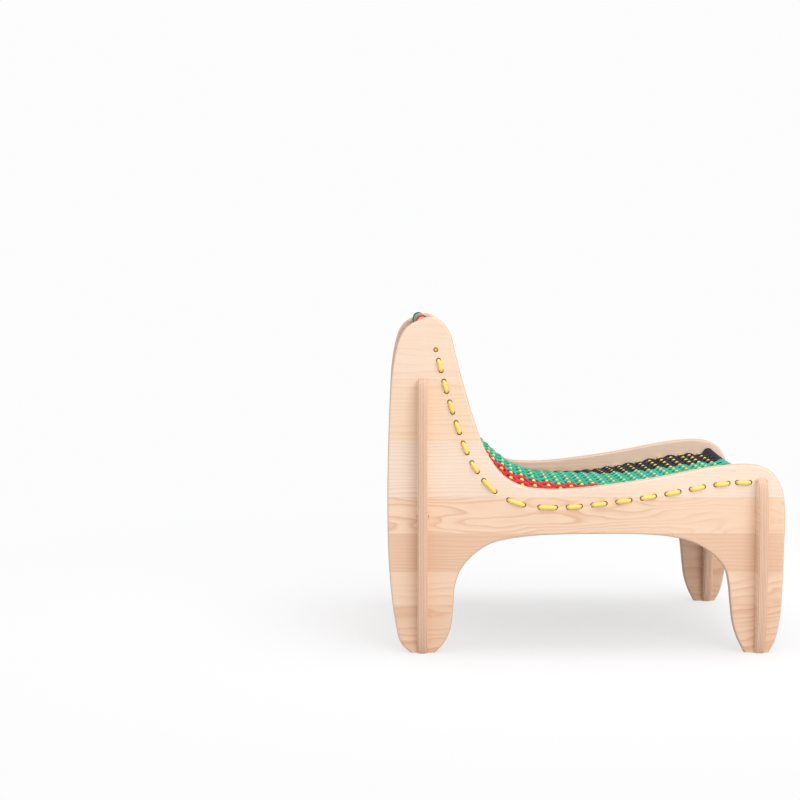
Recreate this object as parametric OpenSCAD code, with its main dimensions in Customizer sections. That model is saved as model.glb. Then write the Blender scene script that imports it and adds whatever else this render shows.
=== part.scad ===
// Low lounge chair: four plywood panels slotted into each other, with a woven cord seat.
// The front faces -Y, the sitter's right is -X and the floor is z = 0.

/* [Plywood frame] */
// Thickness of the plywood
ply = 19; // [15:1:24]
// Clear width between the two side panels
inner_w = 542; // [420:1:680]
// Length of a side panel, front to back
depth = 738; // [690:1:820]
// Height of the backrest
back_h = 625; // [580:1:700]
// Height of the side panels over the front legs
crest_h = 352; // [340:1:375]
// Lowest height of the side panels' top edge
dip_h = 305; // [292:1:318]
// Height of the arch between the legs
arch_h = 222; // [190:1:236]
// Length of a foot on the floor, front to back
foot_l = 45; // [36:1:54]

/* [Cross panels] */
// Front edge of a side panel to the middle of the front cross panel
front_set = 46; // [40:1:60]
// Rear edge of a side panel to the middle of the rear cross panel
rear_set = 65; // [55:1:80]
// How far a cross panel stands out past a side panel
rib_out = 32; // [24:1:44]
// Height of the ribs on the front legs
front_rib_h = 325; // [300:1:332]
// Height of the ribs on the rear legs
rear_rib_h = 510; // [440:1:540]
// Drop of the front panel's top edge below the side panels' crest
front_drop = 21; // [14:1:30]
// How far the front panel's top edge dips in the middle
front_smile = 10; // [4:1:18]
// Space on each side of a panel in its slot
slot_gap = 0.15; // [0.1:0.05:0.4]

/* [Cords] */
// Diameter of the lacing cord
cord_d = 7.5; // [6:0.5:8]
// Space between the lacing cord and its hole
cord_gap = 0.75; // [0.5:0.25:1.25]
// Distance of the lacing holes from the panel's top edge
lace_in = 33.5; // [28:0.5:40]
// How far the bundles pull the lacing's middle out of the bend between seat and back
bend_bow = 45; // [20:1:55]
// How far the lacing's middle sinks near the front
front_sag = 6; // [0:1:10]
// Width of a bundle
bundle_w = 13; // [8:0.5:14]
// Thickness of a bundle
bundle_t = 2.8; // [1.8:0.2:3.4]
// Space between a bundle and what it lies on
rest_gap = 0.2; // [0.15:0.05:0.4]
// Diameter of a bundle where it is gathered in its hole
gather_d = 6.5; // [5.5:0.5:8]
// Run of a bundle down the front panel, from the top edge to its hole
front_run = 50; // [40:1:70]
// Run of a bundle down the rear panel, from the top edge to its hole
rear_run = 105; // [100:1:130]

/* [Hidden] */

reds = 8;
greens = 11;
blacks = 8;
bundles = reds + greens + blacks;

ash = "burlywood";
front = -depth / 2;
back = depth / 2;
front_y = front + front_set;
rear_y = back - rear_set;
panel_x = (inner_w + ply) / 2;
half_in = inner_w / 2;
cord_r = cord_d / 2;
curve_steps = 5;
hole_fn = 32;

// Curves
function unit(v) = v / norm(v);
function left_of(v) = [-v.y, v.x];
function mix(a, b, t) = a + (b - a) * t;
function knot_gap(p, q) = max(sqrt(norm(q - p)), 0.01);
function slope_at(p, q, r) =
    (q - p) / knot_gap(p, q) - (r - p) / (knot_gap(p, q) + knot_gap(q, r)) + (r - q) / knot_gap(q, r);
function hermite(p, q, m, n, t) =
    p * (2 * t ^ 3 - 3 * t ^ 2 + 1) + m * (t ^ 3 - 2 * t ^ 2 + t)
    + q * (3 * t ^ 2 - 2 * t ^ 3) + n * (t ^ 3 - t ^ 2);
function before(pts, i) = i > 0 ? pts[i - 1] : 2 * pts[0] - pts[1];
function after(pts, i) = i < len(pts) - 1 ? pts[i + 1] : 2 * pts[i] - pts[i - 1];

// A smooth curve through every point of a list
function curve(pts) = [
    for (i = [0:len(pts) - 2])
        let (p = pts[i], q = pts[i + 1], d = knot_gap(p, q))
        for (k = [0:curve_steps - 1])
            hermite(p, q, d * slope_at(before(pts, i), p, q), d * slope_at(p, q, after(pts, i + 1)),
                k / curve_steps),
    pts[len(pts) - 1]
];

// The length of a path up to each of its points
function running(path) = [for (i = 0, s = 0; i < len(path); i = i + 1,
    s = s + (i < len(path) ? norm(path[i] - path[i - 1]) : 0)) s];

// Side panel outline, as [y, z], with its offsets in shares of the depth and the height
long = depth / 738;
tall = back_h / 625;
function up(t) = mix(dip_h, back_h, t);
function sag(t) = mix(dip_h, crest_h, t);

front_foot = [
    [front + 28 * long, 0], [front + 17 * long, 20 * tall], [front + 7 * long, 65 * tall],
    [front + 3 * long, 130 * tall], [front + long, 200 * tall], [front, crest_h - 87 * tall],
    [front + 6 * long, crest_h - 47 * tall], [front + 24 * long, crest_h - 16 * tall],
    [front + 48 * long, crest_h - 3 * tall]
];
seat_edge = [
    [front + 66 * long, crest_h - 0.5 * tall], [front + 84 * long, crest_h],
    [front + 142 * long, sag(0.87)], [front + 230 * long, sag(0.51)], [front + 326 * long, sag(0.19)],
    [back - 308 * long, dip_h], [back - 251 * long, up(0.02)], [back - 216 * long, up(0.08)],
    [back - 185 * long, up(0.21)], [back - 161 * long, up(0.4)], [back - 138 * long, up(0.64)],
    [back - 124 * long, up(0.81)]
];
head = [
    [back - 118 * long, up(0.89)], [back - 108 * long, back_h - 17 * tall],
    [back - 94 * long, back_h - 4 * tall], [back - 78 * long, back_h],
    [back - 54 * long, back_h - 8 * tall], [back - 35 * long, back_h - 20 * tall],
    [back - 24 * long, back_h - 36 * tall], [back - 16 * long, back_h - 60 * tall],
    [back - 8 * long, back_h * 0.83], [back - 4 * long, back_h * 0.73], [back - long, back_h * 0.59],
    [back, back_h * 0.43], [back - 2 * long, 180 * tall], [back - 7 * long, 115 * tall],
    [back - 14 * long, 62 * tall], [back - 25 * long, 18 * tall], [back - 43 * long, 0]
];
arch = [
    [back - 43 * long - foot_l, 0], [back - 105 * long, 18 * tall], [back - 117 * long, 44 * tall],
    [back - 122 * long, 80 * tall], [back - 125 * long, arch_h * 0.55],
    [back - 134 * long, arch_h * 0.68], [back - 154 * long, arch_h * 0.8],
    [back - 190 * long, arch_h * 0.915], [back - 250 * long, arch_h * 0.975],
    [back - 330 * long, arch_h * 0.997], [-30 * long, arch_h], [front + 268 * long, arch_h * 0.997],
    [front + 210 * long, arch_h * 0.975], [front + 164 * long, arch_h * 0.915],
    [front + 129 * long, arch_h * 0.81], [front + 110 * long, arch_h * 0.7],
    [front + 104 * long, arch_h * 0.59], [front + 100 * long, 95 * tall],
    [front + 95 * long, 55 * tall], [front + 86 * long, 26 * tall], [front + 28 * long + foot_l, 0]
];

// Lacing holes: one row along the top edge, wider apart in the bend, and the last two a little closer
lace_count = 35;
back_steps = 13;
bend_steps = 5;
back_share = 20;
bend_share = 29.7;
seat_share = 23.1;
last_shift = 6;
lace_rise = 8.5 * tall;
lace_edge = [for (i = [len(seat_edge) - 1:-1:0])
    seat_edge[i] + lace_in * unit(left_of(before(seat_edge, i) - after(seat_edge, i)))];
lace_start = lace_edge[0] + lace_rise * unit(lace_edge[0] - lace_edge[1]);
lace_route = curve(concat([lace_start], lace_edge));
lace_run = running(lace_route);
function lace_point(s) = [
    lookup(s, [for (i = [0:len(lace_route) - 1]) [lace_run[i], lace_route[i].x]]),
    lookup(s, [for (i = [0:len(lace_route) - 1]) [lace_run[i], lace_route[i].y]])
];
function share(i) =
    min(i, back_steps) * back_share + max(min(i - back_steps, bend_steps), 0) * bend_share
    + max(i - back_steps - bend_steps, 0) * seat_share - (i > lace_count - 3 ? last_shift : 0);
lace = [for (i = [0:lace_count - 1])
    lace_point(lace_run[len(lace_run) - 1] * share(i) / share(lace_count - 1))];

// The bow of each strand of the lacing, at its middle
bow_shares = [
    [0, 0], [2, 0.05], [4, 0.13], [6, 0.27], [8, 0.45], [10, 0.66], [12, 0.88], [14, 1], [16, 0.9],
    [18, 0.68], [20, 0.56], [22, 0.38], [24, 0.18], [27, 0]
];
sag_shares = [[27, 0], [29, 0.5], [31, 1], [33, 0.85], [34, 0.5]];
function bow(i) = bend_bow * lookup(i, bow_shares) - front_sag * lookup(i, sag_shares);
function along_lace(i) = unit(after(lace, i) - before(lace, i));
function outward(i) = left_of(-along_lace(i));
function strand(i, x) = lace[i] + bow(i) * (1 - (x / half_in) ^ 2) * outward(i);

// Panels
module on_side(x) {
    translate([x - ply / 2, 0, 0]) rotate([90, 0, 90]) linear_extrude(ply) children();
}

module side_panel(x) {
    hole_d = cord_d + 2 * cord_gap;
    slot_w = ply + 2 * slot_gap;
    color(ash) difference() {
        on_side(x) polygon(concat(curve(concat(front_foot, seat_edge, head)), curve(arch)));
        for (p = lace)
            translate([x - ply, p.x, p.y]) rotate([0, 90, 0]) cylinder(d = hole_d, h = 2 * ply, $fn = hole_fn);
        translate([x - ply, front_y - slot_w / 2, -1]) cube([2 * ply, slot_w, front_rib_h / 2 + 1]);
        translate([x - ply, rear_y - slot_w / 2, -1]) cube([2 * ply, slot_w, rear_rib_h / 2 + 1]);
    }
}

// One side of a cross panel's foot and rib, as [distance from the side panel's face, z]
function rib(h) = [
    [0, h], [rib_out * 0.25, h], [rib_out * 0.56, h - 4 * tall], [rib_out * 0.75, h - 14 * tall],
    [rib_out * 0.9, h - 40 * tall], [rib_out, h - 85 * tall], [rib_out, h * 0.5],
    [rib_out * 0.94, 130 * tall], [rib_out * 0.84, 75 * tall], [rib_out * 0.66, 40 * tall],
    [rib_out * 0.44, 16 * tall], [rib_out * 0.22, 0]
];
cross_arch = [
    [rib_out * 0.22, 0], [rib_out * 0.44, 16 * tall], [rib_out * 0.66, 40 * tall],
    [rib_out * 0.84, 75 * tall], [rib_out * 0.97, arch_h * 0.47], [rib_out * 1.25, arch_h * 0.63],
    [rib_out * 1.9, arch_h * 0.78], [rib_out * 3.1, arch_h * 0.9], [rib_out * 5, arch_h * 0.975],
    [half_in, arch_h]
];

// The right half of a cross panel, as [x, z]: rib, foot and arch
function half_cross(rib_h, top_h) = concat(
    [[0, top_h], [half_in - slot_gap, top_h], [half_in - slot_gap, rib_h / 2],
        [half_in + ply + slot_gap, rib_h / 2], [half_in + ply + slot_gap, rib_h]],
    [for (p = curve(rib(rib_h))) if (p.x > slot_gap) [half_in + ply + p.x, p.y]],
    [for (p = curve(cross_arch)) [half_in - p.x, p.y]]
);
function mirrored(pts) = [for (i = [len(pts) - 1:-1:0]) if (pts[i].x > 0.01) [-pts[i].x, pts[i].y]];

module cross_outline(y, rib_h, top_h) {
    half = half_cross(rib_h, top_h);
    translate([0, y + ply, 0]) rotate([90, 0, 0]) linear_extrude(2 * ply) polygon(concat(half, mirrored(half)));
}

// The thickness of a panel with a rounded top edge, as [y, drop from the top]
nose_steps = 12;
nose = concat(
    [for (k = [0:nose_steps]) ply / 2 * [cos(180 * k / nose_steps), sin(180 * k / nose_steps) - 1]],
    [[-ply / 2, -1.5 * back_h], [ply / 2, -1.5 * back_h]]
);

bundle_pitch = inner_w / bundles;
function bundle_x(j) = -half_in + bundle_pitch * (j + 0.5);
function front_top(x) = crest_h - front_drop - front_smile * (1 - (x / half_in) ^ 2);

module gather_holes(y, z_of) {
    for (j = [0:bundles - 1])
        translate([bundle_x(j), y - ply, z_of[j]]) rotate([-90, 0, 0])
            cylinder(d = gather_d + 2 * rest_gap, h = 2 * ply, $fn = hole_fn);
}

front_holes = [for (j = [0:bundles - 1]) front_top(bundle_x(j)) - front_run];
rear_holes = [for (j = [0:bundles - 1]) back_h - rear_run];

module front_cross_panel() {
    smile_r = (half_in ^ 2 + front_smile ^ 2) / (2 * front_smile);
    smile_z = crest_h - front_drop - front_smile + smile_r;
    color(ash) difference() {
        intersection() {
            cross_outline(front_y, front_rib_h, crest_h);
            translate([0, front_y, smile_z]) rotate([90, 0, 0]) rotate([0, 0, -110])
                rotate_extrude(angle = 40, $fn = 720)
                    polygon([for (p = nose) [smile_r - p.y, p.x]]);
        }
        gather_holes(front_y, front_holes);
    }
}

module rear_cross_panel() {
    color(ash) difference() {
        intersection() {
            cross_outline(rear_y, rear_rib_h, back_h + 1);
            translate([-inner_w, rear_y, back_h]) rotate([90, 0, 90]) linear_extrude(2 * inner_w) polygon(nose);
        }
        gather_holes(rear_y, rear_holes);
    }
}

// Lacing cord: one tube swept from the right of hole 1 to the left of the last hole
bend_r = cord_r * 1.13;
stitch_x = half_in + ply + cord_r + rest_gap;
end_x = half_in + ply * 0.85;
cord_sides = 8;

function yz(v) = [0, v.x, v.y];
function at_hole(x, i) = [x, lace[i].x, lace[i].y];
function strand_steps(i) = abs(bow(i)) > 12 ? 5 : 3;
function even(i) = i % 2 == 0 ? 1 : -1;

// A ring of the tube at p, across the direction t, starting at the side q
function ring(p, t, q) = [
    for (k = [0:cord_sides - 1])
        let (a = k * 360 / cord_sides)
        p + cord_r * (cos(a) * q + sin(a) * cross(t, q))
];

// The rings of a bend from the direction u to the direction v, whose sharp corner would be at c
function bend(c, u, v, side) = [
    for (a = [0:45:90])
        let (out = sin(a) * u - cos(a) * v)
        ring(c + bend_r * (v - u + out), cos(a) * u + sin(a) * v, side * out)
];

// The rings of a strand between the side panels
function strand_rings(i) = [
    for (k = [-strand_steps(i):strand_steps(i)])
        let (x = even(i) * half_in * k / strand_steps(i), slope = -2 * bow(i) * x / half_in ^ 2)
        ring(concat(x, strand(i, x)), even(i) * unit([1, 0, 0] + slope * yz(outward(i))),
            -even(i) * yz(along_lace(i)))
];

cord_rings = let (last = lace_count - 1) concat(
    [ring(at_hole(-end_x, 0), [1, 0, 0], -yz(along_lace(0)))],
    [for (i = [0:last - 1])
        let (u = [even(i), 0, 0], v = yz(unit(lace[i + 1] - lace[i])), x = even(i) * stitch_x)
        each concat(strand_rings(i), bend(at_hole(x, i), u, v, even(i)),
            bend(at_hole(x, i + 1), v, -u, even(i)))],
    strand_rings(last),
    [ring(at_hole(end_x, last), [1, 0, 0], -yz(along_lace(last)))]
);

module lacing_cord() {
    n = cord_sides;
    rings = len(cord_rings);
    start = [for (k = [0:n - 1]) k];
    end = [for (k = [n - 1:-1:0]) (rings - 1) * n + k];
    sides = [
        for (i = [0:rings - 2])
            for (k = [0:n - 1])
                let (a = i * n + k, b = i * n + (k + 1) % n)
                each [[a, a + n, b + n], [a, b + n, b]]
    ];
    color("khaki") polyhedron([for (r = cord_rings) each r], concat([start, end], sides));
}

// Bundles: each passes over one lacing strand and under the next, and wraps both cross panels
flat_l = cord_r * 0.66;
cord_slack = cord_r * 0.1;
wrap_in = ply / 2 + rest_gap;
bundle_tail = gather_d * 0.8;
function front_nose_z(j) = front_top(abs(bundle_x(j)) + bundle_w / 2) - ply / 2;
function over(i, j) = (i + j) % 2 == 0 ? -1 : 1;
function weave(i, x) = cord_r + rest_gap + cord_slack + bundle_t / 2 + bundle_w * abs(bow(i) * x) / half_in ^ 2;
function woven(j, offset) = [
    for (i = [0:lace_count - 1])
        for (k = [-1, 1])
            strand(i, bundle_x(j)) + k * flat_l * along_lace(i)
            + (over(i, j) * weave(i, bundle_x(j)) + offset) * outward(i)
];

// One face of a bundle, from its rear end to its front end, at a distance from the wrapped panels
function bundle_face(j, d, offset) =
    let (rear_end = over(0, j) > 0 ? 165 : 180, front_start = over(lace_count - 1, j) > 0 ? 90 : 60)
    concat(
        [[rear_y + d, rear_holes[j] - bundle_tail]],
        [for (a = [0:15:rear_end]) [rear_y, back_h - ply / 2] + d * [cos(a), sin(a)]],
        woven(j, offset),
        [for (a = [front_start:15:180]) [front_y, front_nose_z(j)] + d * [cos(a), sin(a)]],
        [[front_y - d, front_holes[j] - bundle_tail]]
    );

// The gathered end of a bundle, from its flat run at the origin through the panel to the knot behind it
knot_l = gather_d * 1.2;
knot_d = gather_d * 1.75;
module gathered_end() {
    reach = bundle_t / 2 + ply + 2 * rest_gap;
    rotate([-90, 0, 0]) cylinder(d = gather_d, h = reach + knot_l / 2, $fn = hole_fn);
    translate([0, reach, 0]) rotate([-90, 0, 0]) cylinder(d = knot_d, h = knot_l, $fn = hole_fn);
}

module bundle(j) {
    x = bundle_x(j);
    outer = bundle_face(j, wrap_in + bundle_t, bundle_t / 2);
    inner = bundle_face(j, wrap_in, -bundle_t / 2);
    run = wrap_in + bundle_t / 2;
    translate([x - bundle_w / 2, 0, 0]) rotate([90, 0, 90]) linear_extrude(bundle_w)
        polygon(concat(outer, [for (i = [len(inner) - 1:-1:0]) inner[i]]));
    translate([x, front_y - run, front_holes[j]]) gathered_end();
    translate([x, rear_y + run, rear_holes[j]]) mirror([0, 1, 0]) gathered_end();
}

module red_bundle(n) {
    color("crimson") union() bundle(n - 1);
}

module green_bundle(n) {
    color("mediumseagreen") union() bundle(reds + n - 1);
}

module black_bundle(n) {
    color("dimgray") union() bundle(reds + greens + n - 1);
}

side_panel(-panel_x);  // right_side_panel
side_panel(panel_x);  // left_side_panel
front_cross_panel();
rear_cross_panel();
lacing_cord();
red_bundle(1);  // red_bundle_1
red_bundle(2);  // red_bundle_2
red_bundle(3);  // red_bundle_3
red_bundle(4);  // red_bundle_4
red_bundle(5);  // red_bundle_5
red_bundle(6);  // red_bundle_6
red_bundle(7);  // red_bundle_7
red_bundle(8);  // red_bundle_8
green_bundle(1);  // green_bundle_1
green_bundle(2);  // green_bundle_2
green_bundle(3);  // green_bundle_3
green_bundle(4);  // green_bundle_4
green_bundle(5);  // green_bundle_5
green_bundle(6);  // green_bundle_6
green_bundle(7);  // green_bundle_7
green_bundle(8);  // green_bundle_8
green_bundle(9);  // green_bundle_9
green_bundle(10);  // green_bundle_10
green_bundle(11);  // green_bundle_11
black_bundle(1);  // black_bundle_1
black_bundle(2);  // black_bundle_2
black_bundle(3);  // black_bundle_3
black_bundle(4);  // black_bundle_4
black_bundle(5);  // black_bundle_5
black_bundle(6);  // black_bundle_6
black_bundle(7);  // black_bundle_7
black_bundle(8);  // black_bundle_8
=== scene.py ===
"""Low plywood lounge chair with a woven cord seat: its materials, cords, light and camera.

The front faces -Y, the sitter's right is -X and the floor is z = 0. Sizes of the chair are in millimetres,
and MM turns them into the metres of meshes and shaders.
"""

import math
import random

import bpy
import numpy as np
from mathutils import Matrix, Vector

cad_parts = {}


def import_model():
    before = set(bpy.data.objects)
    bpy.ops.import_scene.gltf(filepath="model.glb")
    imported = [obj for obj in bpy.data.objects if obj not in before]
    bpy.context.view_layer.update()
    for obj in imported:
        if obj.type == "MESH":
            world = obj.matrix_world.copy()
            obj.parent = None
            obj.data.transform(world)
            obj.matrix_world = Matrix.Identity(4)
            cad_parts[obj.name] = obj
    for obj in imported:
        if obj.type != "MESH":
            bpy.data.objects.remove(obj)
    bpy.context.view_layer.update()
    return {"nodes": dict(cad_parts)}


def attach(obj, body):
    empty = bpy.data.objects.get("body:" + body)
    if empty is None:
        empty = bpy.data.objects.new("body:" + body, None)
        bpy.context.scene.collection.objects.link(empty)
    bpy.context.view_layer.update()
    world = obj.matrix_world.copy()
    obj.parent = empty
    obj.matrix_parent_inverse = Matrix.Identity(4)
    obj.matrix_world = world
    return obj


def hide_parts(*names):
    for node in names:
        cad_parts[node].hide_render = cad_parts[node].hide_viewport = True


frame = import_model()

MM = 0.001

# Sizes of the chair, the same as in the model's source
PLY = 19
INNER_W = 542
DEPTH = 738
BACK_H = 625
CREST_H = 352
DIP_H = 305
FRONT_SET = 46
REAR_SET = 65
FRONT_DROP = 21
FRONT_SMILE = 10
SLOT_GAP = 0.15
CORD_D = 7.5
LACE_IN = 33.5
BEND_BOW = 45
FRONT_SAG = 6
REST_GAP = 0.2
FRONT_RUN = 50
REAR_RUN = 105
GROUPS = [("red", 8), ("green", 11), ("black", 8)]

FRONT = -DEPTH / 2
BACK = DEPTH / 2
FRONT_Y = FRONT + FRONT_SET
REAR_Y = BACK - REAR_SET
HALF_IN = INNER_W / 2
CORD_R = CORD_D / 2
BUNDLES = sum(count for _, count in GROUPS)
PITCH = INNER_W / BUNDLES


# Curves in the plane of the side panels, as (y, z)
def vec(*values):
    return np.array(values, float)


def unit(v):
    return v / np.linalg.norm(v)


def left_of(v):
    return vec(-v[1], v[0])


def mix(a, b, t):
    return a + (b - a) * t


def before(pts, i):
    return pts[i - 1] if i > 0 else 2 * pts[0] - pts[1]


def after(pts, i):
    return pts[i + 1] if i < len(pts) - 1 else 2 * pts[i] - pts[i - 1]


def knot_gap(p, q):
    return max(math.sqrt(np.linalg.norm(q - p)), 0.01)


def slope_at(p, q, r):
    a, b = knot_gap(p, q), knot_gap(q, r)
    return (q - p) / a - (r - p) / (a + b) + (r - q) / b


def hermite(p, q, m, n, t):
    return (p * (2 * t**3 - 3 * t**2 + 1) + m * (t**3 - 2 * t**2 + t)
            + q * (3 * t**2 - 2 * t**3) + n * (t**3 - t**2))


def smooth_curve(pts, steps=5):
    out = []
    for i in range(len(pts) - 1):
        p, q = pts[i], pts[i + 1]
        d = knot_gap(p, q)
        m = d * slope_at(before(pts, i), p, q)
        n = d * slope_at(p, q, after(pts, i + 1))
        out += [hermite(p, q, m, n, k / steps) for k in range(steps)]
    return out + [pts[-1]]


def run_along(points):
    """How far along a path each of its points is."""
    return np.concatenate([[0], np.cumsum(np.linalg.norm(np.diff(points, axis=0), axis=1))])


def up(t):
    return mix(DIP_H, BACK_H, t)


def sag(t):
    return mix(DIP_H, CREST_H, t)


SEAT_EDGE = [vec(y, z) for y, z in [
    (FRONT + 66, CREST_H - 0.5), (FRONT + 84, CREST_H), (FRONT + 142, sag(0.87)), (FRONT + 230, sag(0.51)),
    (FRONT + 326, sag(0.19)), (BACK - 308, DIP_H), (BACK - 251, up(0.02)), (BACK - 216, up(0.08)),
    (BACK - 185, up(0.21)), (BACK - 161, up(0.4)), (BACK - 138, up(0.64)), (BACK - 124, up(0.81)),
]]

# The row of lacing holes, from the back's top to the seat's front
LACE_COUNT = 35
BACK_STEPS, BEND_STEPS = 13, 5
BACK_SHARE, BEND_SHARE, SEAT_SHARE = 20, 29.7, 23.1
LAST_SHIFT = 6
LACE_RISE = 8.5


def share(i):
    back = min(i, BACK_STEPS) * BACK_SHARE
    bend = max(min(i - BACK_STEPS, BEND_STEPS), 0) * BEND_SHARE
    seat = max(i - BACK_STEPS - BEND_STEPS, 0) * SEAT_SHARE
    return back + bend + seat - (LAST_SHIFT if i > LACE_COUNT - 3 else 0)


def lace_holes():
    edge = [SEAT_EDGE[i] + LACE_IN * unit(left_of(before(SEAT_EDGE, i) - after(SEAT_EDGE, i)))
            for i in reversed(range(len(SEAT_EDGE)))]
    start = edge[0] + LACE_RISE * unit(edge[0] - edge[1])
    route = np.array(smooth_curve([start] + edge))
    run = run_along(route)
    at = [run[-1] * share(i) / share(LACE_COUNT - 1) for i in range(LACE_COUNT)]
    return [vec(np.interp(s, run, route[:, 0]), np.interp(s, run, route[:, 1])) for s in at]


LACE = lace_holes()

# How far the bundles pull the middle of each strand out of the bend, as (strand, share of BEND_BOW), and how
# far it sinks near the front, as (strand, share of FRONT_SAG)
BOW_AT, BOW_SHARE = zip((0, 0), (2, 0.05), (4, 0.13), (6, 0.27), (8, 0.45), (10, 0.66), (12, 0.88), (14, 1),
                        (16, 0.9), (18, 0.68), (20, 0.56), (22, 0.38), (24, 0.18), (27, 0))
SAG_AT, SAG_SHARE = zip((27, 0), (29, 0.5), (31, 1), (33, 0.85), (34, 0.5))
BOW = [BEND_BOW * np.interp(i, BOW_AT, BOW_SHARE) - FRONT_SAG * np.interp(i, SAG_AT, SAG_SHARE)
       for i in range(LACE_COUNT)]
OUTWARD = [left_of(-unit(after(LACE, i) - before(LACE, i))) for i in range(LACE_COUNT)]


def strand(i, x):
    """The middle of strand i of the lacing at x."""
    return LACE[i] + BOW[i] * (1 - (x / HALF_IN) ** 2) * OUTWARD[i]


def front_top(x):
    """The height of the front panel's top edge at x."""
    return CREST_H - FRONT_DROP - FRONT_SMILE * (1 - (x / HALF_IN) ** 2)


# Meshes of cords
def tube(centres, side, normal, wide, thick, sides, twist=0.0):
    """The vertices, faces, UVs and end caps of a tube.

    wide and thick are half its size along side and normal. UV x runs along it in millimetres, and UV y goes
    once round it.
    """
    n = len(centres)
    run = run_along(centres)
    angle = np.linspace(0, 2 * math.pi, sides, endpoint=False)
    wide = np.broadcast_to(wide, n)
    thick = np.broadcast_to(thick, n)
    ring = (side[:, None, :] * (np.cos(angle)[None, :] * wide[:, None])[..., None]
            + normal[:, None, :] * (np.sin(angle)[None, :] * thick[:, None])[..., None])
    verts = (centres[:, None, :] + ring).reshape(-1, 3)
    i, k = np.meshgrid(np.arange(n - 1), np.arange(sides), indexing="ij")
    k2 = (k + 1) % sides
    corners = [i * sides + k, i * sides + k2, (i + 1) * sides + k2, (i + 1) * sides + k]
    faces = np.stack(corners, -1).reshape(-1, 4)
    u0, u1 = run[i], run[i + 1]
    v0, v1 = k / sides + twist, (k + 1) / sides + twist
    corner_uvs = [np.stack(uv, -1) for uv in ((u0, v0), (u0, v1), (u1, v1), (u1, v0))]
    uvs = np.stack(corner_uvs, -2).reshape(-1, 2)
    caps = [list(range(sides))[::-1], list(range((n - 1) * sides, n * sides))]
    return verts, faces, uvs, caps


def cords_object(name, tubes, material):
    """One smooth object of several tubes."""
    verts, faces, uvs, caps = [], [], [], []
    base = 0
    for tube_verts, tube_faces, tube_uvs, tube_caps in tubes:
        verts.append(tube_verts)
        faces.append(tube_faces + base)
        uvs.append(tube_uvs)
        caps += [[c + base for c in cap] for cap in tube_caps]
        base += len(tube_verts)
    verts = np.concatenate(verts) * MM
    faces = np.concatenate(faces).tolist() + caps
    uvs = np.concatenate(uvs + [np.zeros((sum(len(c) for c in caps), 2))])
    mesh = bpy.data.meshes.new(name)
    mesh.from_pydata(verts.tolist(), [], faces)
    layer = mesh.uv_layers.new(name="UVMap")
    layer.data.foreach_set("uv", uvs.astype(np.float32).ravel())
    mesh.polygons.foreach_set("use_smooth", np.ones(len(mesh.polygons), bool))
    mesh.materials.append(material)
    mesh.validate()
    mesh.update()
    piece = bpy.data.objects.new(name, mesh)
    bpy.context.scene.collection.objects.link(piece)
    return piece


def tangents(points):
    t = np.gradient(points, axis=0)
    return t / np.linalg.norm(t, axis=1)[:, None]


def round_tube(points, radius, sides):
    """A round tube along any smooth path, with a frame that doesn't twist."""
    points = np.asarray(points, float)
    t = tangents(points)
    side = np.zeros_like(t)
    side[0] = unit(np.cross(t[0], vec(0.3, 0.2, 1)))
    for i in range(1, len(t)):
        side[i] = unit(side[i - 1] - np.dot(side[i - 1], t[i]) * t[i])
    return tube(points, side, np.cross(t, side), radius, radius, sides)


# Materials
def linear(c):
    return c / 12.92 if c <= 0.04045 else ((c + 0.055) / 1.055) ** 2.4


def srgb(r, g, b):
    """A colour given as 0 to 255 on the screen, as Blender's linear colour."""
    return tuple(linear(c / 255) for c in (r, g, b)) + (1.0,)


class Tree:
    """A node tree under construction. A value for a node is a plain value or another node's socket."""

    def __init__(self, data):
        self.data = data
        self.nodes = data.nodes
        self.links = data.links

    def put(self, value, socket):
        if isinstance(value, bpy.types.NodeSocket):
            self.links.new(value, socket)
        else:
            socket.default_value = value

    def add(self, kind, values=(), **options):
        node = self.nodes.new(kind)
        for key, value in options.items():
            setattr(node, key, value)
        for key, value in dict(values).items():
            self.put(value, node.inputs[key])
        return node

    def math(self, operation, a, b=0.0, c=0.0, clamp=False):
        return self.add("ShaderNodeMath", {0: a, 1: b, 2: c}, operation=operation, use_clamp=clamp).outputs[0]


class Material(Tree):
    """A node material under construction."""

    def __init__(self, name):
        self.material = bpy.data.materials.new(name)
        self.material.use_nodes = True
        super().__init__(self.material.node_tree)
        self.shader = self.nodes["Principled BSDF"]

    def blend(self, factor, a, b, kind="MIX"):
        node = self.add("ShaderNodeMix", {0: factor}, data_type="RGBA", blend_type=kind)
        self.put(a, node.inputs[6])
        self.put(b, node.inputs[7])
        return node.outputs[2]

    def stain(self, color, cloud, gain, offset, strength, other):
        """color, turned to other by strength where cloud * gain + offset is 1 or more."""
        where = self.math("MULTIPLY_ADD", cloud, gain, offset, clamp=True)
        return self.blend(where, color, self.blend(strength, color, other))

    def ramp(self, factor, stops):
        node = self.add("ShaderNodeValToRGB", {"Fac": factor})
        elements = node.color_ramp.elements
        while len(elements) > 1:
            elements.remove(elements[0])
        elements[0].position, elements[0].color = stops[0]
        for position, color in stops[1:]:
            elements.new(position).color = color
        return node.outputs[0]

    def combine(self, x, y, z):
        return self.add("ShaderNodeCombineXYZ", {0: x, 1: y, 2: z}).outputs[0]

    def noise(self, vector, scale, detail, roughness):
        values = {"Vector": vector, "Scale": scale, "Detail": detail, "Roughness": roughness}
        return self.add("ShaderNodeTexNoise", values).outputs[0]

    def bump(self, strength, distance, height):
        node = self.add("ShaderNodeBump", {"Strength": strength, "Distance": distance, "Height": height})
        self.link("Normal", node.outputs[0])

    def set(self, **values):
        for key, value in values.items():
            self.shader.inputs[key.replace("_", " ")].default_value = value

    def link(self, key, socket):
        self.links.new(socket, self.shader.inputs[key])


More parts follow.
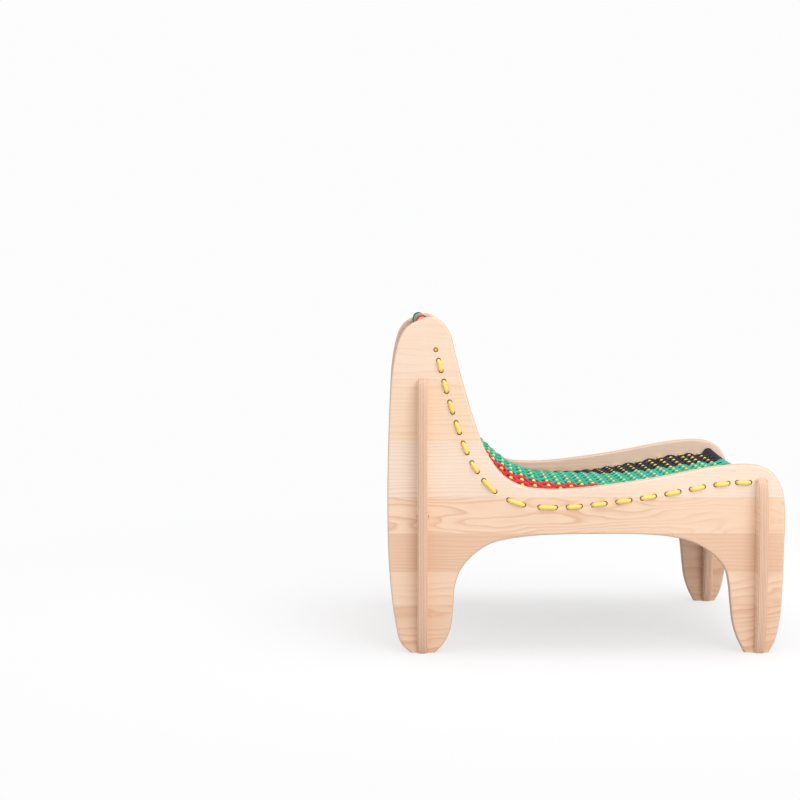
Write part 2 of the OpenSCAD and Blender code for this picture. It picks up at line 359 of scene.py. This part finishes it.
# Boards of the veneer, counted from the floor: where each ends in metres, its colour, how many rings a metre
# it has across the grain, how far its figure swirls, and how strong its lines are
SEAMS = (0.090, 0.152, 0.223, 0.290, 0.395, 0.505)
BOARD_COLOR = [(233, 200, 174), (240, 211, 187), (228, 192, 165), (243, 213, 188), (245, 228, 213),
               (244, 218, 192), (244, 222, 201)]
BOARD_RINGS = (62, 40, 150, 46, 150, 115, 95)
BOARD_SWIRL = (10.0, 7.0, 3.5, 12.0, 3.0, 5.0, 7.0)
BOARD_LINES = (1.0, 0.76, 0.76, 0.80, 0.44, 0.56, 0.46)
BOARD_SHIFT, PANEL_SHIFT = 3.7, 5.3
DRAWN_SEAMS = SEAMS[:4]
SEAM_HALF, SEAM_STRENGTH, SEAM_COLOR = 0.0005, 0.3, srgb(210, 164, 130)

# Noises of the veneer: how fast they change along and across the grain, their detail and their roughness
FIGURE = (3.4, 17.0, 2.0, 0.45)
WAVER = (15.0, 50.0, 2.0, 0.5)
PATCH = (4.5, 11.0, 2.0, 0.5)
FINE = (8.0, 520.0, 4.0, 0.62)
PORES = (60.0, 1700.0, 2.0, 0.6)
TONE = (2.0, 6.0, 2.0, 0.5)
RING_WAVER = 0.9
RING_PEAK, RING_POWER, RING_COLOR = 0.86, 3.0, srgb(205, 148, 108)

# Stains: the gain and offset of the noise that places them, their strength and their colour
TONE_STAIN = (2.0, -0.5, 0.55, srgb(237, 205, 176))
FINE_STAIN = (1.6, -0.6, 0.26, srgb(214, 164, 126))
PORE_STAIN = (3.0, -1.75, 0.22, srgb(198, 146, 110))
PLY_STAIN = (2.2, -0.85, 0.4, srgb(184, 138, 116))

# Plies on the panels' edges, with lines of glue between them and a darker middle; the outer plies stay
# lighter
# The darker middle is partly the core plies' own colour and partly painted highlight on the rounded edges
VENEER = 0.0007
PLIES = 13
SPECK = (160.0, 1.7, 160.0)
PLY_RAMP = [(0.0, srgb(211, 169, 144)), (0.35, srgb(222, 184, 156)), (0.62, srgb(236, 202, 172)),
            (1.0, srgb(244, 214, 185))]
SHEET_HALF, GLUE_STRENGTH, GLUE_COLOR = 0.42, 0.34, srgb(164, 118, 96)
CORE_AND_EDGE_LIGHT_HALF, CORE_AND_EDGE_LIGHT_STRENGTH, CORE_AND_EDGE_LIGHT_COLOR = 0.0062, 0.42, srgb(210, 166, 143)
NO_SHADE_TINT = (1, 1, 1, 1)


def plywood(name, across, centre, seed, shade_tint=NO_SHADE_TINT):
    """Pale veneer with its grain level, and the plies on every edge.

    across is the panel's thickness axis; centre is where the middle of its thickness is, in metres.
    """
    m = Material(name)
    xyz = m.add("ShaderNodeSeparateXYZ", {0: m.add("ShaderNodeTexCoord").outputs["Object"]}).outputs
    along = xyz[1] if across == "x" else xyz[0]
    through = m.math("ABSOLUTE", xyz[0]) if across == "x" else xyz[1]
    z = xyz[2]
    off = m.math("SUBTRACT", through, centre)
    deep = m.math("SUBTRACT", PLY / 2 * MM, m.math("ABSOLUTE", off))
    steps = [m.math("GREATER_THAN", z, s) for s in SEAMS]

    def per_board(values):
        total = values[0]
        for step, low, high in zip(steps, values, values[1:]):
            total = m.math("MULTIPLY_ADD", step, high - low, total)
        return total

    board = per_board(range(len(SEAMS) + 1))
    shift = m.math("MULTIPLY_ADD", board, BOARD_SHIFT, seed * PANEL_SHIFT)

    def grain(pattern, more=0.0):
        along_scale, z_scale, detail, roughness = pattern
        depth = m.math("ADD", shift, more) if more else shift
        point = m.combine(m.math("MULTIPLY", along, along_scale), m.math("MULTIPLY", z, z_scale), depth)
        return m.noise(point, 1.0, detail, roughness)

    # Growth rings cut lengthwise: the level lines of a slow figure, drawn out along the grain
    swirl = m.math("MULTIPLY", grain(FIGURE), per_board(BOARD_SWIRL))
    ring = m.math("MULTIPLY_ADD", z, per_board(BOARD_RINGS), swirl)
    part = m.math("FRACT", m.math("MULTIPLY_ADD", grain(WAVER), RING_WAVER, ring))
    past_peak = m.math("DIVIDE", m.math("SUBTRACT", part, RING_PEAK), 1 - RING_PEAK)
    wave = m.math("POWER", part, RING_POWER)
    wave = m.math("MULTIPLY", wave, m.math("SUBTRACT", 1.0, past_peak, clamp=True))
    patch = m.math("MULTIPLY_ADD", grain(PATCH, 9.0), 3.0, -0.95, clamp=True)
    fine = grain(FINE)
    pores = grain(PORES)

    plain = [srgb(*c) for c in BOARD_COLOR]
    color = m.combine(*[per_board([c[k] for c in plain]) for k in range(3)])
    color = m.stain(color, grain(TONE, 4.0), *TONE_STAIN)
    lines = m.math("MULTIPLY", wave, per_board(BOARD_LINES))
    lines = m.math("MULTIPLY", lines, m.math("MULTIPLY_ADD", patch, 0.8, 0.2))
    color = m.blend(lines, color, RING_COLOR)
    color = m.stain(color, fine, *FINE_STAIN)
    color = m.stain(color, pores, *PORE_STAIN)
    for s in DRAWN_SEAMS:
        near = m.math("LESS_THAN", m.math("ABSOLUTE", m.math("SUBTRACT", z, s)), SEAM_HALF)
        color = m.blend(m.math("MULTIPLY", near, SEAM_STRENGTH), color, SEAM_COLOR)

    # Plies: thin layers, light and dark in turn, between the two face veneers
    layer = m.math("DIVIDE", m.math("ADD", off, PLY / 2 * MM), PLY * MM / PLIES)
    turn = m.math("MULTIPLY_ADD", m.math("SINE", m.math("MULTIPLY", layer, math.pi)), 0.5, 0.5)
    point = [m.math("MULTIPLY", value, scale) for value, scale in zip((along, layer, z), SPECK)]
    ply = m.stain(m.ramp(turn, PLY_RAMP), m.noise(m.combine(*point), 1.0, 3.0, 0.7), *PLY_STAIN)
    from_middle = m.math("ABSOLUTE", m.math("SUBTRACT", m.math("FRACT", layer), 0.5))
    sheet = m.math("LESS_THAN", from_middle, SHEET_HALF)
    ply = m.blend(sheet, m.blend(GLUE_STRENGTH, ply, GLUE_COLOR), ply)
    # Darker middle, lighter outer plies: partly the core's own colour, partly painted highlight on the
    # rounded edges
    core_and_edge_light = m.math("SUBTRACT", 1.0, m.math("DIVIDE", m.math("ABSOLUTE", off), CORE_AND_EDGE_LIGHT_HALF), clamp=True)
    ply = m.blend(m.math("MULTIPLY", m.math("POWER", core_and_edge_light, 0.5), CORE_AND_EDGE_LIGHT_STRENGTH), ply, CORE_AND_EDGE_LIGHT_COLOR)
    color = m.blend(m.math("GREATER_THAN", deep, VENEER), color, ply)
    # A panel's tint, where it has one, darkens its colour as painted shade
    m.link("Base Color", m.blend(1.0, color, shade_tint, "MULTIPLY"))

    m.link("Roughness", m.math("MULTIPLY_ADD", fine, 0.12, 0.44))
    m.set(Specular_IOR_Level=0.3, Coat_Weight=0.05, Coat_Roughness=0.35)
    m.bump(0.14, 0.0004, m.math("ADD", m.math("MULTIPLY", fine, -0.6), m.math("MULTIPLY", pores, -0.4)))
    return m.material


# Noises of the cords as (scale, detail, roughness), and the gain, offset and strength of their stains
FUZZ, FUZZ_STAIN = (2600.0, 3.0, 0.7), (1.4, -0.5, 0.25)
DIRT, DIRT_STAIN = (38.0, 3.0, 0.55), (1.6, -0.5, 0.35)


def braid(name, color, shade, light, sheen, around=4, pitch=1.7):
    """Braided cord: crossed yarns round the tube, from its UVs in millimetres."""
    m = Material(name)
    uv = m.add("ShaderNodeSeparateXYZ", {0: m.add("ShaderNodeUVMap", uv_map="UVMap").outputs[0]}).outputs
    along = m.math("MULTIPLY", uv[0], math.pi / pitch)
    turn = m.math("MULTIPLY", uv[1], math.pi * around)
    left = m.math("ABSOLUTE", m.math("SINE", m.math("ADD", turn, along)))
    right = m.math("ABSOLUTE", m.math("SINE", m.math("SUBTRACT", turn, along)))
    yarn = m.math("POWER", m.math("MULTIPLY", left, right), 0.6)
    point = m.add("ShaderNodeTexCoord").outputs["Object"]
    fuzz = m.noise(point, *FUZZ)
    dirt = m.noise(point, *DIRT)
    # The grooves between the yarns blend to the darker shade colour: painted shade in the grooves
    base = m.stain(m.blend(yarn, shade, color), dirt, *DIRT_STAIN, light)
    m.link("Base Color", m.stain(base, fuzz, *FUZZ_STAIN, light))
    m.set(Roughness=0.72, Specular_IOR_Level=0.22, Sheen_Weight=sheen, Sheen_Roughness=0.4)
    m.bump(0.7, 0.0004, m.math("MULTIPLY_ADD", fuzz, 0.25, yarn))
    return m.material


SIDE_X = HALF_IN + PLY / 2
PANELS = {
    "right_side_panel": plywood("plywood_right", "x", SIDE_X * MM, seed=1.0),
    # The left panel's tint makes it darker and pinker: painted shade for the far panel, which stands in the
    # chair's shade
    "left_side_panel": plywood("plywood_left", "x", SIDE_X * MM, seed=2.3, shade_tint=(0.95, 0.90, 0.89, 1)),
    "front_cross_panel": plywood("plywood_front", "y", FRONT_Y * MM, seed=3.1),
    "rear_cross_panel": plywood("plywood_rear", "y", REAR_Y * MM, seed=4.7),
}
YELLOW = braid("yellow_braid", srgb(253, 230, 122), srgb(236, 200, 84), srgb(255, 242, 170), sheen=0.15,
               around=6, pitch=3.4)
ROPES = {
    "red": braid("red_braid", srgb(230, 38, 50), srgb(172, 18, 30), srgb(246, 92, 96), sheen=0.1),
    "green": braid("green_braid", srgb(50, 186, 156), srgb(24, 134, 112), srgb(108, 216, 190), sheen=0.1),
    "black": braid("black_braid", srgb(36, 34, 40), srgb(16, 15, 19), srgb(62, 58, 68), sheen=0.05),
}

# Panels keep their meshes, and modifiers round the sawn edges: holes by HOLE_LESS less than the outline, and
# the ribs' inner edges by RIB_LESS less
EDGE_ROUND = {"x": 4.2 * MM, "y": 5.8 * MM}
ROUND_STEPS = 5
WELD_GAP = 0.0001
SHARP_ANGLE = math.radians(50)
SMOOTH_ANGLE = math.radians(40)
ON_PLANE = 0.00006
FACE_MARGIN = 0.05
HOLE_EDGE = 0.0012
HOLE_LESS = 0.85
RIB_LESS = 0.88
FLOOR_EDGE = 0.2 * MM


def geometry_tree(name):
    """A geometry node group, with the sockets where its geometry comes in and goes out."""
    data = bpy.data.node_groups.new(name, "GeometryNodeTree")
    for way in ("INPUT", "OUTPUT"):
        data.interface.new_socket("Geometry", in_out=way, socket_type="NodeSocketGeometry")
    tree = Tree(data)
    return tree, tree.add("NodeGroupInput").outputs[0], tree.add("NodeGroupOutput").inputs[0]


def edge_weights():
    """Geometry nodes that give each sharp edge its share of the bevel's width.

    It is 1 on the outline, less on holes and on the ribs' inner edges, and 0 in slots and on the floor.
    """
    tree, source, sink = geometry_tree("edge_weights")
    ends = tree.add("GeometryNodeInputMeshEdgeVertices").outputs
    both = {0: ends["Position 1"], 1: ends["Position 2"]}
    length = tree.add("ShaderNodeVectorMath", both, operation="DISTANCE").outputs["Value"]
    total = tree.add("ShaderNodeVectorMath", both, operation="ADD").outputs[0]
    xyz = tree.add("ShaderNodeSeparateXYZ", {0: total}).outputs
    x = tree.math("MULTIPLY", tree.math("ABSOLUTE", xyz[0]), 0.5)
    y = tree.math("MULTIPLY", xyz[1], 0.5)
    z = tree.math("MULTIPLY", xyz[2], 0.5)

    def on_plane(value, at):
        return tree.math("COMPARE", value, at * MM, ON_PLANE)

    # The slots' own edges lie on the faces of the panel that passes through
    slot = on_plane(x, HALF_IN - SLOT_GAP)
    for middle in (FRONT_Y, REAR_Y):
        for edge in (-PLY / 2 - SLOT_GAP, PLY / 2 + SLOT_GAP):
            slot = tree.math("MAXIMUM", slot, on_plane(y, middle + edge))
    rib = tree.math("MULTIPLY", on_plane(x, HALF_IN + PLY + SLOT_GAP), RIB_LESS)
    not_rib = tree.math("LESS_THAN", x, (HALF_IN + PLY + FACE_MARGIN) * MM)
    hole = tree.math("MULTIPLY", tree.math("LESS_THAN", length, HOLE_EDGE), not_rib)
    hole = tree.math("MULTIPLY", hole, HOLE_LESS)
    low = tree.math("LESS_THAN", z, FLOOR_EDGE)
    angle = tree.add("GeometryNodeInputMeshEdgeAngle").outputs[0]
    weight = tree.math("GREATER_THAN", angle, SHARP_ANGLE)
    for less in (slot, rib, hole, low):
        weight = tree.math("MULTIPLY", weight, tree.math("SUBTRACT", 1.0, less))
    values = {"Geometry": source, "Name": "bevel_weight_edge", "Value": weight}
    store = tree.add("GeometryNodeStoreNamedAttribute", values, data_type="FLOAT", domain="EDGE")
    tree.put(store.outputs[0], sink)
    return tree.data


def smooth_faces():
    """Geometry nodes that shade smooth, apart from edges sharper than SMOOTH_ANGLE."""
    tree, source, sink = geometry_tree("smooth_faces")
    faces = tree.add("GeometryNodeSetShadeSmooth", {"Geometry": source, "Shade Smooth": True}, domain="FACE")
    angle = tree.add("GeometryNodeInputMeshEdgeAngle").outputs[0]
    sides = {"A": angle, "B": SMOOTH_ANGLE}
    small = tree.add("FunctionNodeCompare", sides, data_type="FLOAT", operation="LESS_THAN")
    values = {"Geometry": faces.outputs[0], "Shade Smooth": small.outputs[0]}
    edges = tree.add("GeometryNodeSetShadeSmooth", values, domain="EDGE")
    tree.put(edges.outputs[0], sink)
    return tree.data


WEIGHTS = edge_weights()
SMOOTH = smooth_faces()

for name, material in PANELS.items():
    panel = frame["nodes"][name]
    panel.material_slots[0].link = "OBJECT"
    panel.material_slots[0].material = material
    weld = panel.modifiers.new("weld", "WELD")
    weld.merge_threshold = WELD_GAP
    panel.modifiers.new("weights", "NODES").node_group = WEIGHTS
    bevel = panel.modifiers.new("bevel", "BEVEL")
    bevel.limit_method = "WEIGHT"
    bevel.width = EDGE_ROUND["x" if "side" in name else "y"]
    bevel.segments = ROUND_STEPS
    bevel.use_clamp_overlap = False
    bevel.loop_slide = False
    bevel.miter_outer = "MITER_ARC"
    panel.modifiers.new("smooth", "NODES").node_group = SMOOTH
    weighted = panel.modifiers.new("normals", "WEIGHTED_NORMAL")
    weighted.keep_sharp = True

# Bundles of five fine cords, woven through the lacing and wrapped over the cross panels
CORDS = 5
WOVEN_GAP = 3.45
SPREAD_GAP = 3.95
GATHER_GAP = 1.25
TIGHT_GAP = 2.4
FINE_SIDES = 8
FINE_THICK = 1.05
FINE_WIDE = (1.15, 2.25)
WIDE_SHARE = 0.66
SWELL = 0.75
STRAND_WAVE, WAVE_STEEP = 0.9, 2.2
WEAVE_GAP = 0.1
FRONT_LIFT = 0.15
WRAP = PLY / 2 + REST_GAP + FINE_THICK
LEVEL = vec(0, 0)

# The cords' ends: how far they reach past a panel and into its hole, and how they fan out above the hole, as
# (height over it, gap between cords)
PAST_PANEL = 3
INTO_HOLE = 1
REAR_FAN = ((3.5, GATHER_GAP * 1.2), (16, 2.7), (34, SPREAD_GAP))
FRONT_FAN = ((24, SPREAD_GAP * 0.97), (12, 2.5), (3.5, GATHER_GAP * 1.2))
REAR_STRAIGHT = 30

# Where the rear wrap ends and the front one starts, in degrees, for cords over and under the strand beside it
REAR_WRAP = {1: 165, -1: 180}
FRONT_WRAP = {1: 90, -1: 60}
WRAP_STEP = 15

# Small irregularities: how far a cord wanders, as (size, shortest and longest run), and how far the cords of
# a gathered bundle stand in and out by turns
WANDER = ((0.16, 28, 55), (0.08, 9, 14))
STAGGER = 0.9
RIPPLE, RIPPLE_RUN = 0.08, 17
CORD_STEP = 2.8
LONG_RUN, LONG_STEPS = 40, 6


def over(i, j):
    """1 where bundle j passes over strand i of the lacing, and -1 where it passes under."""
    return -1 if (i + j) % 2 == 0 else 1


def bundle_x(j):
    return -HALF_IN + PITCH * (j + 0.5)


def woven_strand(i, x):
    """Strand i, which bends a little up over each bundle that passes under it and down under the others."""
    wave = math.tanh(WAVE_STEEP * math.sin(math.pi * (x + HALF_IN) / PITCH)) * (1 if i % 2 == 0 else -1)
    return strand(i, x) + STRAND_WAVE * wave * OUTWARD[i]


def wrap_keys(y, z, first, last):
    """Points of a cord on a cross panel's round top edge, from angle first to last."""
    keys = []
    for degrees in range(first, last + 1, WRAP_STEP):
        a = math.radians(degrees)
        turn = vec(math.cos(a), math.sin(a))
        keys.append((vec(y, z) + WRAP * turn, left_of(turn), SPREAD_GAP, LEVEL))
    return keys


def cord_keys(j, k):
    """Points of one cord of a bundle, as (point, direction, gap between cords, lean of the surface)."""
    x = bundle_x(j)
    spot = k - (CORDS - 1) / 2
    x_woven, x_spread = x + spot * WOVEN_GAP, x + spot * SPREAD_GAP

    rear_hole = BACK_H - REAR_RUN
    keys = [
        (vec(REAR_Y - PLY / 2 - PAST_PANEL, rear_hole), vec(1, 0), GATHER_GAP, LEVEL),
        (vec(REAR_Y + PLY / 2 - INTO_HOLE, rear_hole), vec(1, 0), GATHER_GAP, LEVEL),
    ]
    keys += [(vec(REAR_Y + WRAP, rear_hole + rise), vec(0, 1), gap, LEVEL) for rise, gap in REAR_FAN]
    keys.append((vec(REAR_Y + WRAP, BACK_H - PLY / 2 - REAR_STRAIGHT), vec(0, 1), SPREAD_GAP, LEVEL))
    keys += wrap_keys(REAR_Y, BACK_H - PLY / 2, 0, REAR_WRAP[over(0, j)])

    line = [strand(i, x_woven) for i in range(LACE_COUNT)]
    for i in range(LACE_COUNT):
        ahead = unit(after(line, i) - before(line, i))
        lean = -2 * BOW[i] * x_woven / HALF_IN**2 * OUTWARD[i]
        lift = over(i, j) * (CORD_R + WEAVE_GAP + FINE_THICK - STRAND_WAVE)
        keys.append((line[i] + lift * left_of(-ahead), ahead, WOVEN_GAP, lean))

    nose_z = front_top(x_spread) - PLY / 2 + FRONT_LIFT
    keys += wrap_keys(FRONT_Y, nose_z, FRONT_WRAP[over(LACE_COUNT - 1, j)], 180)
    front_hole = front_top(x) - FRONT_RUN
    keys += [(vec(FRONT_Y - WRAP, front_hole + rise), vec(0, -1), gap, LEVEL) for rise, gap in FRONT_FAN]
    keys += [
        (vec(FRONT_Y - PLY / 2 + INTO_HOLE, front_hole), vec(1, 0), GATHER_GAP, LEVEL),
        (vec(FRONT_Y + PLY / 2 + PAST_PANEL, front_hole), vec(1, 0), GATHER_GAP, LEVEL),
    ]
    return keys


def cord_tube(j, k, rng):
    """One fine cord, flat where the bundle is spread, and thicker between two strands of the lacing."""
    keys = cord_keys(j, k)
    points, gaps, leans, thick = [], [], [], []
    for (p, a, g, lean), (q, b, h, next_lean) in zip(keys, keys[1:]):
        chord = np.linalg.norm(q - p)
        steps = max(1, round(chord / CORD_STEP)) if chord < LONG_RUN else LONG_STEPS
        for s in range(steps):
            t = s / steps
            points.append(hermite(p, q, a * chord, b * chord, t))
            gaps.append(mix(g, h, 3 * t * t - 2 * t**3))
            leans.append(mix(lean, next_lean, t))
            thick.append(FINE_THICK + SWELL * math.sin(math.pi * t) ** 2 * (g == h == WOVEN_GAP))
    points.append(keys[-1][0])
    gaps.append(keys[-1][2])
    leans.append(keys[-1][3])
    thick.append(FINE_THICK)
    points, gaps, leans = np.array(points), np.array(gaps), np.array(leans)

    run = run_along(points)
    wander = sum(size * np.sin(run / rng.uniform(low, high) + rng.uniform(0, 6))
                 for size, low, high in WANDER)
    spot = k - (CORDS - 1) / 2
    tight = np.clip(TIGHT_GAP - gaps, 0, 1)
    x = bundle_x(j) + spot * gaps + wander * (1 - tight)
    flat = tangents(points)
    ahead = np.stack([np.zeros(len(points)), flat[:, 0], flat[:, 1]], 1)
    side = np.column_stack([np.ones(len(points)), leans])
    side -= np.sum(side * ahead, axis=1)[:, None] * ahead
    side /= np.linalg.norm(side, axis=1)[:, None]
    normal = np.cross(ahead, side)
    centres = np.stack([x, points[:, 0], points[:, 1]], 1)
    stagger = STAGGER if k % 2 else -STAGGER
    centres += normal * (tight * stagger + RIPPLE * np.sin(run / RIPPLE_RUN + k * 2))[:, None]
    wide = np.clip(gaps * WIDE_SHARE, *FINE_WIDE)
    return tube(centres, side, normal, wide, thick, FINE_SIDES, rng.random())


# Knots behind the cross panels, in millimetres
KNOT_SIZE, KNOT_OUT, KNOT_DEEP, KNOT_R = 1.15, 3.6, 1.5, 2.0
TAIL_TURNS = (-0.7, 0.9)
TAIL_ASIDE, TAIL_START, TAIL_OUT, TAIL_DOWN, TAIL_R = 6, 3, 8, 9, 1.5


def knot_tubes(centre, axis):
    """An overhand knot pulled up against a panel, with two cut tails.

    axis is +1 or -1 along Y, away from the panel.
    """
    t = np.linspace(0, 2 * math.pi, 61)
    ring = np.stack([
        KNOT_SIZE * (np.sin(t) + 2 * np.sin(2 * t)),
        axis * (KNOT_OUT - KNOT_DEEP * np.sin(3 * t)),
        KNOT_SIZE * (np.cos(t) - 2 * np.cos(2 * t)),
    ], 1)
    tubes = [round_tube(centre + ring, KNOT_R, 8)]
    s = np.linspace(0, 1, 7)
    for turn in TAIL_TURNS:
        out = axis * (TAIL_START + TAIL_OUT * s)
        tail = np.stack([turn * TAIL_ASIDE * s**1.4, out, -TAIL_DOWN * s**1.7], 1)
        tubes.append(round_tube(centre + tail, TAIL_R, 8))
    return tubes


bundles = [(colour, n) for colour, count in GROUPS for n in range(1, count + 1)]
for j, (colour, n) in enumerate(bundles):
    rng = random.Random(100 + j)
    tubes = [cord_tube(j, k, rng) for k in range(CORDS)]
    tubes += knot_tubes(vec(bundle_x(j), REAR_Y - PLY / 2, BACK_H - REAR_RUN), -1)
    tubes += knot_tubes(vec(bundle_x(j), FRONT_Y + PLY / 2, front_top(bundle_x(j)) - FRONT_RUN), 1)
    piece = cords_object(f"{colour}_cords_{n}", tubes, ROPES[colour])
    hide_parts(f"{colour}_bundle_{n}")
    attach(piece, "root")

# The lacing cord: strands from side to side, and a stitch over each panel between two holes
STITCH_X = HALF_IN + PLY + CORD_R + REST_GAP
STITCH_BULGE = 0.25
END_X = HALF_IN + PLY * 0.85
BEND_R = CORD_R * 1.13
HOLE_R = CORD_R * 0.9
PULL = 0.75
MOUTH = 2
HOLE_POINTS, STRAND_POINTS, BEND_POINTS = 5, BUNDLES * 6 + 1, 8
BEND_END = 0.12


def lacing_path():
    """Points and radii of the lacing: slimmer in its holes, and pulled towards the stitch that leaves one."""
    path, radii = [], []
    last = LACE_COUNT - 1
    turn_x = STITCH_X - BEND_R

    def add(x, p, radius=CORD_R):
        path.append(vec(x, p[0], p[1]))
        radii.append(radius)

    def add_in_hole(way, first, end, hole, pull):
        for x in np.linspace(first, end, HOLE_POINTS):
            t = (abs(x) - HALF_IN) / PLY
            add(way * x, hole + pull * t, mix(CORD_R, HOLE_R, min(1, 2 * t)))

    for i in range(LACE_COUNT):
        way = 1 if i % 2 == 0 else -1
        came = unit(LACE[i - 1] - LACE[i]) * PULL if i > 0 else vec(0, 0)
        goes = unit(LACE[i + 1] - LACE[i]) * PULL if i < last else vec(0, 0)
        add_in_hole(way, -turn_x if i > 0 else -END_X, -HALF_IN - MOUTH, LACE[i], came)
        for x in np.linspace(-HALF_IN, HALF_IN, STRAND_POINTS):
            add(way * x, woven_strand(i, way * x))
        add_in_hole(way, HALF_IN + MOUTH, turn_x if i < last else END_X, LACE[i], goes)
        if i == last:
            break
        start = LACE[i] + goes * (turn_x - HALF_IN) / PLY
        step = LACE[i + 1] - LACE[i]
        ahead = unit(step)
        length = np.linalg.norm(step) - 2 * np.linalg.norm(start - LACE[i])
        for s in np.linspace(BEND_END, 1, BEND_POINTS):
            a = s * math.pi / 2
            rise = BEND_R * (1 - math.cos(a))
            add(way * (turn_x + BEND_R * math.sin(a)), start + ahead * rise, mix(HOLE_R, CORD_R, s))
        add(way * (STITCH_X + STITCH_BULGE), start + ahead * length / 2)
        for s in np.linspace(0, 1 - BEND_END, BEND_POINTS):
            a = s * math.pi / 2
            rise = length - BEND_R + BEND_R * math.sin(a)
            add(way * (turn_x + BEND_R * math.cos(a)), start + ahead * rise, mix(CORD_R, HOLE_R, s))
    return np.array(path), np.array(radii)


lacing = cords_object("lacing_braid", [round_tube(*lacing_path(), 14)], YELLOW)
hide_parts("lacing_cord")
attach(lacing, "root")

# Floor, light and camera
BACKDROP = (0.98, 0.98, 0.985, 1)
FLOOR_HALF = 30
FLOOR_COLOR = (0.62, 0.61, 0.61, 1)
FLOOR_SEEN = (0.84, 0.84, 0.85, 1)
FLOOR_LIFT = 0.62
FADE_CENTRE = (0.4, 0, 0)
FADE_START, FADE_END = 0.5, 1.7
LAMP_AIM = Vector((0, 0, 0.3))


def floor():
    """A pale floor that fades towards the backdrop, for the camera only."""
    mesh = bpy.data.meshes.new("floor")
    r = FLOOR_HALF
    mesh.from_pydata([(-r, -r, 0), (r, -r, 0), (r, r, 0), (-r, r, 0)], [], [(0, 1, 2, 3)])
    obj = bpy.data.objects.new("floor", mesh)
    bpy.context.scene.collection.objects.link(obj)
    m = Material("floor")
    ray = m.add("ShaderNodeLightPath").outputs["Is Camera Ray"]
    m.link("Base Color", m.blend(ray, FLOOR_COLOR, FLOOR_SEEN))
    m.set(Roughness=0.7, Specular_IOR_Level=0.1)
    point = m.add("ShaderNodeTexCoord").outputs["Object"]
    away = m.add("ShaderNodeVectorMath", {0: point, 1: FADE_CENTRE}, operation="DISTANCE").outputs["Value"]
    fade = {"Value": away, "From Min": FADE_START, "From Max": FADE_END, "To Min": FLOOR_LIFT}
    far = m.add("ShaderNodeMapRange", fade, interpolation_type="SMOOTHSTEP").outputs[0]
    glow = m.add("ShaderNodeEmission", {"Color": BACKDROP, "Strength": 1.0})
    seen = m.math("MULTIPLY", far, ray)
    both = m.add("ShaderNodeMixShader", {0: seen, 1: m.shader.outputs[0], 2: glow.outputs[0]})
    m.put(both.outputs[0], m.nodes["Material Output"].inputs[0])
    mesh.materials.append(m.material)


def studio_world(level, above, color):
    """An even light, level at the horizon and level + above overhead; the camera sees the backdrop."""
    world = bpy.data.worlds.new("studio")
    bpy.context.scene.world = world
    world.use_nodes = True
    tree = Tree(world.node_tree)
    path = tree.add("ShaderNodeLightPath").outputs
    ray = tree.add("ShaderNodeTexCoord").outputs["Generated"]
    height = tree.math("MAXIMUM", tree.add("ShaderNodeSeparateXYZ", {0: ray}).outputs[2], 0.0)
    soft = tree.nodes["Background"]
    tree.put(color, soft.inputs[0])
    tree.put(tree.math("MULTIPLY_ADD", height, above, level), soft.inputs[1])
    white = tree.add("ShaderNodeBackground", {0: BACKDROP, 1: 1.0})
    seen = tree.math("MAXIMUM", path["Is Camera Ray"], path["Is Glossy Ray"])
    both = tree.add("ShaderNodeMixShader", {0: seen, 1: soft.outputs[0], 2: white.outputs[0]})
    tree.put(both.outputs[0], tree.nodes["World Output"].inputs[0])


def lamp(name, place, size, power):
    """A round soft light aimed at the middle of the chair; place and size are in metres."""
    light = bpy.data.lights.new(name, "AREA")
    light.shape = "DISK"
    light.size = size
    light.energy = power
    obj = bpy.data.objects.new(name, light)
    obj.location = place
    obj.rotation_euler = (LAMP_AIM - Vector(place)).to_track_quat("-Z", "Y").to_euler()
    bpy.context.scene.collection.objects.link(obj)


floor()
studio_world(level=0.57, above=0.58, color=(1.0, 0.995, 0.99, 1))
lamp("key", (-3.2, -1.2, 1.9), size=2.8, power=48)
lamp("top", (-0.2, -0.3, 2.8), size=2.0, power=23)

CAMERA_AT = (-3.5769, 0.3582, 0.6699)
YAW, PITCH_DOWN = -0.00384, 0.06034
FOCAL_PX, PICTURE_PX = 1785.0, 800
SENSOR = 36
camera = bpy.data.cameras.new("camera")
camera.sensor_width = SENSOR
camera.lens = FOCAL_PX / PICTURE_PX * SENSOR
eye = bpy.data.objects.new("camera", camera)
eye.location = CAMERA_AT
level_part = math.cos(PITCH_DOWN)
gaze = Vector((math.cos(YAW) * level_part, math.sin(YAW) * level_part, -math.sin(PITCH_DOWN)))
eye.rotation_euler = gaze.to_track_quat("-Z", "Y").to_euler()
bpy.context.scene.collection.objects.link(eye)
bpy.context.scene.camera = eye
bpy.context.scene.view_settings.view_transform = "Standard"
